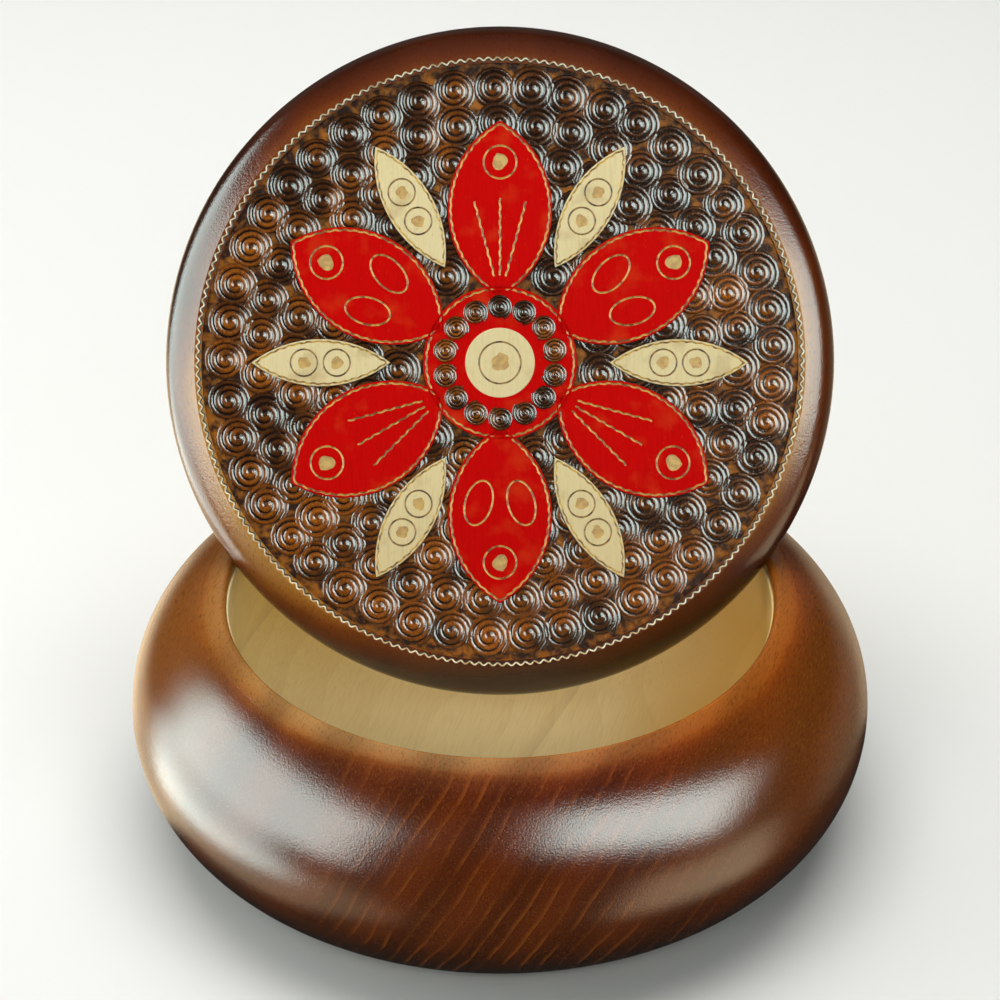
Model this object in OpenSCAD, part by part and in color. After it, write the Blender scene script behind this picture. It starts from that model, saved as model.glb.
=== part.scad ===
// Round wooden box turned from the solid, with a loose carved lid that leans in its open mouth.
// Millimetres, +Z up, origin in the middle of the foot. The lid's carved face looks to -Y and up.

/* [Box body] */
// Diameter of the body at its widest
body_d = 150; // [140:1:166]
// Height of the body from its foot to the top of its rim
body_h = 49.6; // [44:0.2:58]
// Height above the foot at which the body is widest
widest_z = 24.4; // [18:0.2:30]
// Diameter of the flat foot
foot_d = 112; // [90:1:130]
// Diameter of the mouth
mouth_d = 110; // [98:1:122]
// Radius of the rounded inner edge of the rim
rim_round = 1.5; // [0.8:0.1:2.4]
// Thickness of the floor
floor_t = 8; // [5:0.5:14]
// Radius of the hollow's corner between its wall and its floor
hollow_round = 22; // [10:1:28]

/* [Lid] */
// Diameter of the lid
lid_d = 135.4; // [128:0.2:146]
// Height of the lid's rounded edge above the plane where the lid is widest, and its radius
edge_up = 7; // [5:0.5:9]
// Height of the lid's rounded edge below that plane, and its radius
edge_down = 4; // [3:0.5:6]
// Depth of the plug that drops into the mouth
plug_h = 5; // [3:0.5:8]
// Gap between the plug and the mouth, all round
plug_gap = 0.5; // [0.2:0.1:1.2]
// Radius of the plug's rounded corner
plug_round = 1; // [0.4:0.1:2]

/* [Carved face] */
// Diameter of the sunk ground inside the lid's plain border
ground_d = 120; // [110:0.5:124]
// Depth of the sunk ground below the border
ground_sink = 0.9; // [0.5:0.1:1.5]
// Height of the rosette above the sunk ground
relief_h = 0.8; // [0.4:0.1:1.2]
// Number of petals, with a leaf between each two
petal_count = 6; // [5:1:7]
// Distance from the lid's middle to the root of a petal
petal_root = 13; // [10:0.5:15]
// Distance from the lid's middle to the tip of a petal
petal_tip = 48.5; // [42:0.5:54]
// Width of a petal
petal_w = 21; // [16:0.5:22]
// Distance from the lid's middle to the root of a leaf
leaf_root = 22; // [19:0.5:26]
// Distance from the lid's middle to the tip of a leaf
leaf_tip = 50; // [42:0.5:54]
// Width of a leaf
leaf_w = 9.5; // [6:0.5:10]
// Diameter of the rosette's hub
hub_d = 31; // [28:0.5:34]
// Diameter of the bare eye in the middle of the hub
eye_d = 14; // [10:0.5:18]
// Height of the eye above the hub
eye_h = 0.1; // [0.1:0.1:0.4]

/* [Lid leaning in the mouth] */
// Lean of the lid back from upright, in degrees
lean = 30; // [22:0.5:40]
// Where the lid's lowest edge stands behind the box's axis
lid_foot_y = -1.8; // [-8:0.2:8]
// Gap between the lid's edge and the rim where the lid is seated
seat_gap = 0.3; // [0.1:0.05:0.5]

/* [Hidden] */
$fn = 128;

stained_wood = "#5a2c12";
red_stain = "#b80f08";
bare_wood = "#e6d7a0";

// How far a cutting shape runs past the face that it cuts
overrun = 1;
// How far the rosette runs down into the lid, so that the two are one piece
rosette_bed = 2;
// Spacing of the points at which the seat is measured, in degrees round the rim
seat_angle = 0.5;
// First and last step of the search for the seat
seat_first_step = 4;
seat_last_step = 0.0005;

// Radius of the arc that starts upright and reaches in and up from there
function arc_radius(in, up) = (in * in + up * up) / (2 * in);

mouth_r = mouth_d / 2;
// The circle that the rim's rounded edge follows
rim_r = mouth_r + rim_round;
rim_z = body_h - rim_round;
shoulder_r = arc_radius(body_d / 2 - rim_r, body_h - widest_z);
flank_r = arc_radius((body_d - foot_d) / 2, widest_z);

// The lid's own frame has its middle in the plane where the lid is widest, and its carved face up
plug_r = mouth_r - plug_gap;
plug_z = -edge_down - plug_h;
ground_z = edge_up - ground_sink;
lid_y = lid_foot_y + (lid_d / 2 - edge_down) * sin(lean);

// A point of the rim's circle, measured from the lid's middle at height z
function rim_point(angle, z) = [rim_r * cos(angle), rim_r * sin(angle) - lid_y, rim_z - z];

// The same point in the lid's own frame, as its distance from the lid's axis and its height
function in_lid(p) = [
    norm([p.x, p.y * sin(lean) + p.z * cos(lean)]),
    p.z * sin(lean) - p.y * cos(lean)
];

// Radius of the lid's edge at a height in its own frame
function edge_round(h) = h > 0 ? edge_up : edge_down;

// Distance from a point in the lid's own frame to the lid's rounded disc, and to its plug
function to_disc(r, h) = norm([max(r - lid_d / 2 + edge_round(h), 0), h]) - edge_round(h);
function to_plug(r, h) = norm([max(r - plug_r, 0), max(plug_z - h, h, 0)]);

// Clear space between the lid and the rim with the lid's middle at height z
function lid_clear(z) = min([
    for (angle = [-90 : seat_angle : 90])
        let (q = in_lid(rim_point(angle, z)))
            min(to_disc(q[0], q[1]), to_plug(q[0], q[1]))
]) - rim_round;

// Lowers the lid from height z in ever smaller steps until it is seated
function seated(z, step) =
    step < seat_last_step ? z :
    lid_clear(z - step) > seat_gap ? seated(z - step, step) :
    seated(z, step / 2);

lid_z = seated(body_h + lid_d, seat_first_step);

// What lies between a square corner at the origin and the arc that rounds it
module corner_waste(radius) {
    difference() {
        square(radius);
        translate([radius, radius]) circle(radius);
    }
}

// A stretch of a turned side, from the axis out to an arc that is upright at its widest
module round_side(widest_r, height, radius, low, high) {
    middle = widest_r - radius;
    intersection() {
        translate([middle, height]) circle(radius);
        translate([0, low]) square([widest_r, high - low]);
    }
    if (middle > 0) translate([0, low]) square([middle, high - low]);
}

module body_outline() {
    difference() {
        union() {
            round_side(body_d / 2, widest_z, flank_r, 0, widest_z);
            round_side(body_d / 2, widest_z, shoulder_r, widest_z, body_h);
        }
        hollow_outline();
        translate([mouth_r, body_h]) mirror([0, 1]) corner_waste(rim_round);
    }
}

module hollow_outline() {
    difference() {
        translate([0, floor_t]) square([mouth_r, body_h - floor_t + overrun]);
        translate([mouth_r, floor_t]) mirror([1, 0]) corner_waste(hollow_round);
    }
}

module box_body() {
    color(stained_wood) rotate_extrude() body_outline();
}

module lid_outline() {
    round_side(lid_d / 2, 0, edge_up, 0, edge_up);
    round_side(lid_d / 2, 0, edge_down, -edge_down, 0);
    difference() {
        translate([0, plug_z]) square([plug_r, -plug_z]);
        translate([plug_r, plug_z]) mirror([1, 0]) corner_waste(plug_round);
    }
}

// A pointed oval between two arcs, on the Y axis from root to tip
module pointed_oval(root, tip, width) {
    radius = arc_radius(width / 2, (tip - root) / 2);
    translate([0, (root + tip) / 2]) intersection() {
        translate([radius - width / 2, 0]) circle(radius);
        translate([width / 2 - radius, 0]) circle(radius);
    }
}

module petals() {
    for (i = [0 : petal_count - 1]) {
        rotate(360 * i / petal_count) pointed_oval(petal_root, petal_tip, petal_w);
    }
}

module leaves() {
    for (i = [0 : petal_count - 1]) {
        rotate(360 * (i + 0.5) / petal_count) pointed_oval(leaf_root, leaf_tip, leaf_w);
    }
}

// Raises an outline from the bed of the rosette to a height above the sunk ground
module raised(height) {
    translate([0, 0, ground_z - rosette_bed]) linear_extrude(rosette_bed + height) children();
}

module rosette() {
    color(red_stain) raised(relief_h) {
        circle(d = hub_d);
        petals();
    }
    color(bare_wood) raised(relief_h) leaves();
    color(bare_wood) raised(relief_h + eye_h) circle(d = eye_d);
}

module lid_blank() {
    difference() {
        rotate_extrude() lid_outline();
        translate([0, 0, ground_z]) cylinder(d = ground_d, h = ground_sink + overrun);
    }
}

module lid() {
    translate([0, lid_y, lid_z]) rotate([90 - lean, 0, 0]) {
        color(stained_wood) lid_blank();
        rosette();
    }
}

box_body();
lid();
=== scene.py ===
"""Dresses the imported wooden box: a turned, stained bowl with a carved lid leaning in its mouth."""
import logging
import math
import random
from contextlib import contextmanager
from dataclasses import dataclass
from enum import Enum
from typing import Any, Callable, Iterator, Sequence

import bmesh
import bpy
from mathutils import Euler, Matrix, Vector


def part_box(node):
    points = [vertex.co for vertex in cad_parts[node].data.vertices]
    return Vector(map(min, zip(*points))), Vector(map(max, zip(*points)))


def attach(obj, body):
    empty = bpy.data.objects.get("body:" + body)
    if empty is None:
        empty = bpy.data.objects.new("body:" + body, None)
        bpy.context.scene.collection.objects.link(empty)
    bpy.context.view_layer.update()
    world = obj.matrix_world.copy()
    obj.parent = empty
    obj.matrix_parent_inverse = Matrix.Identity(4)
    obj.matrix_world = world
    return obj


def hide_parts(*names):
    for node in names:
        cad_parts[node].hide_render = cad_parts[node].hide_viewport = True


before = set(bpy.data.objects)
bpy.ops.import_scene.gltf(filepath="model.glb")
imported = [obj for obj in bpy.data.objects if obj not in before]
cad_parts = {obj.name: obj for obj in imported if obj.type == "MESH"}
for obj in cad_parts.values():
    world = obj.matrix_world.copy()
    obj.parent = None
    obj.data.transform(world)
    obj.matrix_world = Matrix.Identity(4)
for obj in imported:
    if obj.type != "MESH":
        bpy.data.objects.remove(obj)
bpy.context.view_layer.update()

log = logging.getLogger("wooden_box")

MM = 0.001
FULL_TURN = 2 * math.pi
# Distance within which two places count as one
TOUCH = 0.01 * MM
# Least upward slant of a face that counts as a top
UPWARD = 0.9
# Radians that Blender's wave runs through in one unit of its coordinates
WAVE_RADIANS = 20
# Numbers of the Mix node's colour sockets, which share their names with its other sockets
MIX_UNDER, MIX_OVER, MIX_COLOUR = 6, 7, 2

Piece = bpy.types.Object
Material = bpy.types.Material
Socket = bpy.types.NodeSocket
Face = bmesh.types.BMFace
Inputs = dict[int | str, Any] | Sequence[Any]
Rgba = tuple[float, float, float, float]
Way = tuple[float, float, float]
# Two values of a pattern, and what the finish makes of either
Span = tuple[float, float, float, float]
# Places along a stain, and its colour there
Stops = tuple[tuple[float, str], ...]
# Sides of a turned piece, each with how much more or less it has of something
Sides = tuple[tuple[Way, float], ...]


class Body(Enum):
    """The moving bodies of the frame that a piece can ride on."""

    BOX = "box"
    LID = "lid"


class Slot(Enum):
    """The record's material slots."""

    STAINED = "stained_wood"
    CARVED = "carved_lid_wood"
    RED = "red_stained_wood"
    BARE = "bare_wood"


def linear(hex_colour: str) -> Rgba:
    """Turns an sRGB hex colour into linear light.

    The numbers in it are those of the sRGB standard.

    Args:
        hex_colour: Six hex digits after a hash sign.

    Returns:
        Linear red, green and blue, and an alpha of 1.
    """
    channels = [int(hex_colour[i:i + 2], 16) / 255 for i in (1, 3, 5)]
    lit = [c / 12.92 if c <= 0.04045 else ((c + 0.055) / 1.055) ** 2.4 for c in channels]
    return (lit[0], lit[1], lit[2], 1.0)


def activate(piece: Piece) -> None:
    """Makes one object the only selected one and the active one.

    Args:
        piece: The object.
    """
    bpy.ops.object.select_all(action="DESELECT")
    piece.select_set(True)
    bpy.context.view_layer.objects.active = piece


@contextmanager
def editing(piece: Piece) -> Iterator[None]:
    """Opens an object in edit mode with nothing selected, and closes it afterwards.

    Args:
        piece: The object.

    Returns:
        Nothing, for as long as the object is open.
    """
    activate(piece)
    bpy.ops.object.mode_set(mode="EDIT")
    bpy.ops.mesh.select_all(action="DESELECT")
    yield
    bpy.ops.object.mode_set(mode="OBJECT")


def select_faces(piece: Piece, test: Callable[[Face], bool]) -> None:
    """Selects faces of the object that is open in edit mode.

    Args:
        piece: The object.
        test: Says whether a face is wanted.
    """
    mesh = bmesh.from_edit_mesh(piece.data)
    for face in mesh.faces:
        face.select_set(test(face))
    bmesh.update_edit_mesh(piece.data)


def primitive(name: str, add: Callable[..., Any], **sizes: Any) -> Piece:
    """Adds one of Blender's primitives by itself, with its place in its mesh.

    Args:
        name: The object's name.
        add: The operator that adds it.
        sizes: The operator's own words for its size and place.

    Returns:
        The new object.
    """
    bpy.ops.object.select_all(action="DESELECT")
    add(**sizes)
    piece = bpy.context.object
    piece.name = piece.data.name = name
    bpy.ops.object.transform_apply(location=True, rotation=True, scale=True)
    return piece


def settle(piece: Piece, place: Matrix) -> None:
    """Moves an object to its place and puts that place into its mesh.

    Args:
        piece: The object.
        place: Where it goes, with its turn and its scale.
    """
    activate(piece)
    piece.matrix_world = place
    bpy.ops.object.transform_apply(location=True, rotation=True, scale=True)


def copy_of(piece: Piece, name: str) -> Piece:
    """Copies an object, with a mesh of its own.

    Args:
        piece: The object.
        name: Name of the copy.

    Returns:
        The copy.
    """
    twin = piece.copy()
    twin.data = piece.data.copy()
    twin.name = twin.data.name = name
    bpy.context.collection.objects.link(twin)
    return twin


def join(parts: Sequence[Piece]) -> Piece:
    """Joins objects into the first of them.

    Args:
        parts: The objects.

    Returns:
        The first, with the others in it.
    """
    activate(parts[0])
    for part in parts:
        part.select_set(True)
    bpy.ops.object.join()
    return parts[0]


def clean(piece: Piece, merge: float = 0.002 * MM) -> None:
    """Merges doubled points and turns every face outwards.

    Args:
        piece: The object.
        merge: Distance within which two points become one.
    """
    with editing(piece):
        bpy.ops.mesh.select_all(action="SELECT")
        bpy.ops.mesh.remove_doubles(threshold=merge)
        bpy.ops.mesh.normals_make_consistent(inside=False)


def smooth(piece: Piece, degrees: float) -> None:
    """Shades an object smooth, apart from edges sharper than an angle."""
    activate(piece)
    bpy.ops.object.shade_smooth_by_angle(angle=math.radians(degrees))


def break_edge(block: Piece, bevel: float) -> None:
    """Breaks the edge round the top of a block.

    Args:
        block: The block.
        bevel: Width of the broken edge.
    """
    with editing(block):
        select_faces(block, lambda face: face.normal.z > UPWARD)
        bpy.ops.mesh.region_to_loop()
        bpy.ops.mesh.bevel(offset=bevel, segments=2, affect="EDGES")


def dress(piece: Piece, *finishes: Material) -> None:
    """Gives an object its finishes, the first of them on every face.

    Args:
        piece: The object.
        finishes: Its finishes, in the order of their numbers.
    """
    piece.data.materials.clear()
    for finish in finishes:
        piece.data.materials.append(finish)


def dress_faces(piece: Piece, index: int, test: Callable[[Face], bool]) -> None:
    """Gives some faces another of the object's finishes.

    Args:
        piece: The object.
        index: Number of the finish.
        test: Says whether a face gets it.
    """
    with editing(piece):
        select_faces(piece, test)
        piece.active_material_index = index
        bpy.ops.object.material_slot_assign()


def combine(piece: Piece, tool: Piece, operation: str) -> None:
    """Cuts an object with another, or keeps only what the two share, and removes the tool.

    Args:
        piece: The object that is kept.
        tool: The closed object that it is combined with, whose material the cut takes.
        operation: The Boolean modifier's own word for what is done.
    """
    activate(piece)
    cut = piece.modifiers.new("cut", "BOOLEAN")
    cut.operation = operation
    cut.solver = "EXACT"
    cut.material_mode = "TRANSFER"
    cut.object = tool
    bpy.ops.object.modifier_apply(modifier=cut.name)
    bpy.data.objects.remove(tool, do_unlink=True)


def carve(piece: Piece, tools: Sequence[Piece], finish: Material) -> None:
    """Cuts grooves into an object, each with the finish of freshly cut wood.

    Args:
        piece: The object.
        tools: What is cut away, one after the other.
        finish: Finish of the grooves.
    """
    for tool in tools:
        dress(tool, finish)
        combine(piece, tool, "DIFFERENCE")


def sweep(
    name: str, path: Sequence[Vector], tube: float, sides: int, end_turn: float | None = None,
    taper: float = 1.0,
) -> Piece:
    """Draws a round bar along a level path, by extruding and turning its end face.

    Args:
        name: The object's name.
        path: The points that the bar's middle passes through, all at one height.
        tube: Radius of the bar.
        sides: Number of flats round the bar.
        end_turn: How far the last end is turned from the first, where the bar runs on into its own
            start or into a copy of itself and its ends stay open.
        taper: Thickness of the last end as a share of the first.

    Returns:
        The bar, closed on all sides unless its ends stay open.
    """
    headings = [math.atan2(b.y - a.y, b.x - a.x) for a, b in zip(path, path[1:])]
    headings.append(headings[-1] if end_turn is None else headings[0] + end_turn)
    bar = primitive(
        name, bpy.ops.mesh.primitive_circle_add, vertices=sides, radius=tube, fill_type="NGON",
        location=path[0], rotation=(math.pi / 2, 0, headings[0] + math.pi / 2),
    )
    shrink = taper ** (1 / (len(path) - 1))
    with editing(bar):
        bpy.ops.mesh.select_all(action="SELECT")
        for start, end, before, after in zip(path, path[1:], headings, headings[1:]):
            turn = math.remainder(after - before, FULL_TURN)
            bpy.ops.mesh.extrude_region_move(TRANSFORM_OT_translate={"value": end - start})
            bpy.ops.transform.rotate(value=-turn, orient_axis="Z", center_override=end)
            if taper != 1.0:
                bpy.ops.transform.resize(value=(shrink,) * 3, center_override=end)
        if end_turn is not None:
            bpy.ops.mesh.select_all(action="DESELECT")
            bpy.ops.mesh.select_face_by_sides(number=sides)
            bpy.ops.mesh.delete(type="FACE")
    clean(bar)
    return bar


class Profile:
    """Half the outline of a turned piece, drawn in the XZ plane and then spun round the Z axis."""

    def __init__(self, name: str, radius: float, height: float) -> None:
        """Starts the outline at one point.

        Args:
            name: Name of the turned piece.
            radius: The first point's distance from the axis.
            height: The first point's height.
        """
        self.piece = primitive(name, bpy.ops.mesh.primitive_plane_add, size=MM)
        bpy.ops.object.mode_set(mode="EDIT")
        bpy.ops.mesh.select_all(action="SELECT")
        bpy.ops.mesh.merge(type="CENTER")
        bpy.ops.transform.translate(value=(radius, 0, height))
        self.end = (radius, height)

    def line(self, radius: float, height: float) -> None:
        """Draws a straight stretch to a point.

        Args:
            radius: The point's distance from the axis.
            height: The point's height.
        """
        step = (radius - self.end[0], 0, height - self.end[1])
        bpy.ops.mesh.extrude_region_move(TRANSFORM_OT_translate={"value": step})
        self.end = (radius, height)

    def arc(self, middle: tuple[float, float], degrees: float, steps: int) -> None:
        """Draws an arc from the last point.

        Args:
            middle: Radius and height of the arc's centre.
            degrees: How far the arc runs, anticlockwise where it is positive.
            steps: Number of stretches that the arc is made of.
        """
        angle = math.radians(degrees)
        bpy.ops.mesh.spin(steps=steps, angle=angle, center=(middle[0], 0, middle[1]), axis=(0, 1, 0))
        out, up = self.end[0] - middle[0], self.end[1] - middle[1]
        self.end = (
            middle[0] + out * math.cos(angle) - up * math.sin(angle),
            middle[1] + out * math.sin(angle) + up * math.cos(angle),
        )

    def turn(self, steps: int) -> Piece:
        """Spins the outline round the axis into a closed piece.

        Args:
            steps: Number of stretches round the piece.

        Returns:
            The turned piece.
        """
        bpy.ops.mesh.select_all(action="SELECT")
        bpy.ops.mesh.spin(steps=steps, angle=FULL_TURN, center=(0, 0, 0), axis=(0, 0, 1))
        bpy.ops.object.mode_set(mode="OBJECT")
        clean(self.piece)
        return self.piece


class Ring(Enum):
    """How the colour runs across one growth ring, in the Wave node's own words."""

    SHARP = "SAW"
    SOFT = "SIN"


@dataclass
class NodeGraph:
    """The nodes of one material, and the patterns of wood that are made of them."""

    tree: bpy.types.NodeTree

    def fill(self, node: bpy.types.Node, inputs: Inputs) -> None:
        """Sets or links inputs of a node.

        Args:
            node: The node.
            inputs: A value, or the socket to link, for each input, in order or by name or number.
        """
        for key, value in inputs.items() if isinstance(inputs, dict) else enumerate(inputs):
            if isinstance(value, Socket):
                self.tree.links.new(value, node.inputs[key])
            else:
                node.inputs[key].default_value = value

    def add(
        self, kind: str, inputs: Inputs, out: int | str = 0, stops: Stops = (), **settings: Any
    ) -> Socket:
        """Adds one node with its settings and links.

        Args:
            kind: The node's type, after the word that every shader node's type starts with.
            inputs: What goes into it.
            out: Name or number of the output that is wanted.
            stops: Places and hex colours of a colour ramp.
            settings: The node's own properties.

        Returns:
            That output.
        """
        node = self.tree.nodes.new(f"ShaderNode{kind}")
        for key, value in settings.items():
            setattr(node, key, value)
        self.fill(node, inputs)
        if stops:
            ramp = node.color_ramp.elements
            while len(ramp) < len(stops):
                ramp.new(1.0)
            for element, (place, colour) in zip(ramp, stops):
                element.position = place
                element.color = linear(colour)
        return node.outputs[out]

    def streaks(self, place: Socket, across: float, along: float) -> Socket:
        """Noise drawn out along the fibres.

        Linden's own fibres are too fine to show, so streaks are drawn as wide as they need to be.

        Args:
            place: Coordinates in the plank's own directions.
            across: Width of a streak.
            along: Length of a streak.

        Returns:
            A value about 0.5.
        """
        scale = (1 / across, 1 / along, 1 / across)
        drawn = self.add("Mapping", {"Vector": place, "Scale": scale})
        noise = {"Vector": drawn, "Scale": 1.0, "Detail": 3.0, "Roughness": 0.55}
        return self.add("TexNoise", noise, "Fac")

    def mottling(self, place: Socket, size: float) -> Socket:
        """Soft patches of one size, as a value about 0.5."""
        noise = {"Vector": place, "Scale": 1 / size, "Detail": 3.0, "Roughness": 0.5}
        return self.add("TexNoise", noise, "Fac")

    def growth_rings(self, place: Socket, spacing: float, stray: float, ring: Ring) -> Socket:
        """Growth rings across the plank.

        Args:
            place: Coordinates in the plank's own directions.
            spacing: Distance from one ring to the next.
            stray: How far the rings stray from straight, in radians of the wave.
            ring: How the colour runs across each of them.

        Returns:
            A value from 0 to 1.
        """
        wave = {
            "Vector": place, "Scale": FULL_TURN / (WAVE_RADIANS * spacing), "Distortion": stray,
            "Detail": 2.0, "Detail Scale": 0.35, "Detail Roughness": 0.5,
        }
        return self.add(
            "TexWave", wave, "Fac", wave_type="BANDS", bands_direction="X", wave_profile=ring.value
        )

    def from_axis(self, place: Socket) -> Socket:
        """Distance from the Z axis of a set of coordinates."""
        flat = self.add("VectorMath", (place, (1, 1, 0)), operation="MULTIPLY")
        return self.add("VectorMath", (flat,), "Value", operation="LENGTH")

    def facing(self, place: Socket, way: Way) -> Socket:
        """How squarely a spot lies to one side of the Z axis.

        Args:
            place: A set of coordinates.
            way: The side, as a level direction.

        Returns:
            A value from -1 to 1, which is 1 where the spot lies straight that way.
        """
        flat = self.add("VectorMath", (place, (1, 1, 0)), operation="MULTIPLY")
        heading = self.add("VectorMath", (flat,), operation="NORMALIZE")
        return self.add("VectorMath", (heading, way), "Value", operation="DOT_PRODUCT")

    def lay(
        self, under: Socket | Rgba, over: str, *shares: tuple[Socket, Span], mode: str = "MIX"
    ) -> Socket:
        """Lays a colour over another, as far as every one of some patterns lets it show.

        Args:
            under: The lower colour.
            over: The upper colour, in hex.
            shares: Patterns, each with two of its values and how much it lets show at either.
            mode: The Mix node's own word for how the colours mix.

        Returns:
            The mixed colour.
        """
        parts = [self.add("MapRange", (pattern, *span)) for pattern, span in shares]
        shown = parts[0]
        for part in parts[1:]:
            shown = self.add("Math", (shown, part), operation="MULTIPLY")
        colours = {0: shown, MIX_UNDER: under, MIX_OVER: linear(over)}
        return self.add("Mix", colours, MIX_COLOUR, data_type="RGBA", blend_type=mode)


@dataclass(frozen=True)
class GrainFrame:
    """Where a piece of wood lay in its plank: X across the growth rings, Y along the fibres."""

    middle: Vector
    turn: Euler

    def place(self, graph: NodeGraph) -> Socket:
        """Gives Object coordinates turned into the plank's own directions.

        Args:
            graph: The material's nodes.

        Returns:
            The coordinates.
        """
        spot = graph.add("TexCoord", (), "Object")
        mapping = {"Vector": spot, "Location": self.middle, "Rotation": self.turn}
        return graph.add("Mapping", mapping, vector_type="TEXTURE")


@dataclass(frozen=True)
class Finish:
    """A finish that has one material, made when it is first asked for."""

    name: str

    def material(self) -> Material:
        """Gives the finish's material.

        Returns:
            The material, the same one each time.
        """
        made = bpy.data.materials.get(self.name)
        if made is None:
            made = bpy.data.materials.new(self.name)
            made.use_nodes = True
            graph = NodeGraph(made.node_tree)
            graph.fill(made.node_tree.nodes["Principled BSDF"], self.surface(graph))
        return made

    def surface(self, graph: NodeGraph) -> dict[str, Any]:
        """Adds the nodes of the finish.

        Args:
            graph: The material's nodes.

        Returns:
            What goes into the inputs of the material's shader.
        """
        raise NotImplementedError


@dataclass(frozen=True)
class StainedLinden(Finish):
    """Linden turned on a lathe, spray stained from amber to dark brown, and lacquered to a satin gloss.

    It shows a bright sunburst round the mouth, more amber at either side, of which the left is
    partly painted reflection of the warm table, thin growth lines through the stain in front, and a
    fine pebbling in its broad reflections.
    """

    grain: GrainFrame
    height: float
    stain: Stops = (
        (0.0, "#1a0d06"), (0.15, "#221006"), (0.25, "#361908"), (0.38, "#582608"), (0.52, "#682c08"),
        (0.7, "#682b07"), (0.85, "#602605"), (0.93, "#5a2204"), (0.958, "#6a2d06"), (0.97, "#84440c"),
        (0.98, "#9e662c"), (1.0, "#ae7f46"),
    )
    patch: float = 26 * MM
    patch_shift: Span = (0.3, 0.7, -0.006, 0.006)
    shade: str = "#241005"
    band_spacing: float = 15 * MM
    band_stray: float = 9.0
    band_shade: Span = (0.1, 0.9, 0.0, 0.34)
    growth: str = "#b8641a"
    ring_spacing: float = 3.2 * MM
    ring_stray: float = 5.5
    ring_line: Span = (0.72, 0.98, 0.0, 1.0)
    fade_patch: float = 8 * MM
    fade: Span = (0.38, 0.62, 0.04, 0.36)
    thin_side: Way = (0.05, -1, 0)
    thin_reach: Span = (0.8, 0.96, 0.0, 1.0)
    warm: str = "#ffc070"
    warm_side: Way = (0.92, -0.38, 0)
    warm_reach: Span = (0.2, 0.9, 0.0, 1.0)
    warm_height: Span = (0.6, 0.92, 0.0, 1.0)
    amber: str = "#94581a"
    amber_and_reflection_sides: Sides = (((-0.98, 0.2, 0), 0.6), ((0.96, -0.28, 0), 0.34))
    amber_reach: tuple[float, float] = (0.6, 0.96)
    amber_height: Span = (0.4, 0.66, 0.0, 1.0)
    fleck: str = "#b07830"
    fibre_width: float = 0.3 * MM
    fibre_length: float = 1.8 * MM
    fibre_depth: float = 0.014 * MM
    fibre_fleck: Span = (0.56, 0.75, 0.0, 0.22)
    fibre_shade: Span = (0.46, 0.3, 0.0, 0.45)
    pebble: float = 0.36 * MM
    pebble_depth: float = 0.045 * MM
    gloss: Span = (0.3, 0.7, 0.15, 0.21)
    lathe_pitch: float = 0.4 * MM
    lathe_depth: float = 0.008 * MM

    def surface(self, graph: NodeGraph) -> dict[str, Any]:
        """Adds the stain, the grain under it and the lacquer over it.

        Args:
            graph: The material's nodes.

        Returns:
            What goes into the inputs of the material's shader.
        """
        spot = graph.add("TexCoord", (), "Object")
        plank = self.grain.place(graph)
        level = graph.add("SeparateXYZ", (spot,), "Z")
        up = graph.add("MapRange", (level, 0, self.height))
        patches = graph.add("MapRange", (graph.mottling(spot, self.patch), *self.patch_shift))
        uneven = graph.add("Math", (up, patches), operation="ADD")
        colour = graph.add("ValToRGB", (uneven,), stops=self.stain)
        bands = graph.growth_rings(plank, self.band_spacing, self.band_stray, Ring.SOFT)
        colour = graph.lay(colour, self.shade, (bands, self.band_shade))
        rings = graph.growth_rings(plank, self.ring_spacing, self.ring_stray, Ring.SHARP)
        fading = graph.mottling(spot, self.fade_patch)
        thin = graph.facing(spot, self.thin_side)
        lines = ((rings, self.ring_line), (fading, self.fade), (thin, self.thin_reach))
        colour = graph.lay(colour, self.growth, *lines)
        warm = (graph.facing(spot, self.warm_side), self.warm_reach)
        colour = graph.lay(colour, self.warm, warm, (up, self.warm_height), mode="MULTIPLY")
        # Amber towards either side of the shoulder: on the left it is partly painted reflection of the
        # warm table, on the right stain.
        for side, share in self.amber_and_reflection_sides:
            amber = (graph.facing(spot, side), (*self.amber_reach, 0.0, share))
            colour = graph.lay(colour, self.amber, amber, (up, self.amber_height))
        fibres = graph.streaks(plank, self.fibre_width, self.fibre_length)
        colour = graph.lay(colour, self.fleck, (fibres, self.fibre_fleck))
        colour = graph.lay(colour, self.shade, (fibres, self.fibre_shade))
        pebbles = graph.mottling(spot, self.pebble)
        gloss = graph.add("MapRange", (pebbles, *self.gloss))
        ring = graph.add("CombineXYZ", {0: graph.from_axis(spot), 2: level})
        turned = graph.mottling(ring, self.lathe_pitch)
        bump = graph.add("Bump", {"Height": turned, "Distance": self.lathe_depth})
        bump = graph.add("Bump", {"Height": pebbles, "Distance": self.pebble_depth, "Normal": bump})
        bump = graph.add("Bump", {"Height": fibres, "Distance": self.fibre_depth, "Normal": bump})
        return {"Base Color": colour, "Roughness": gloss, "Normal": bump, "IOR": 1.5}


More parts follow.
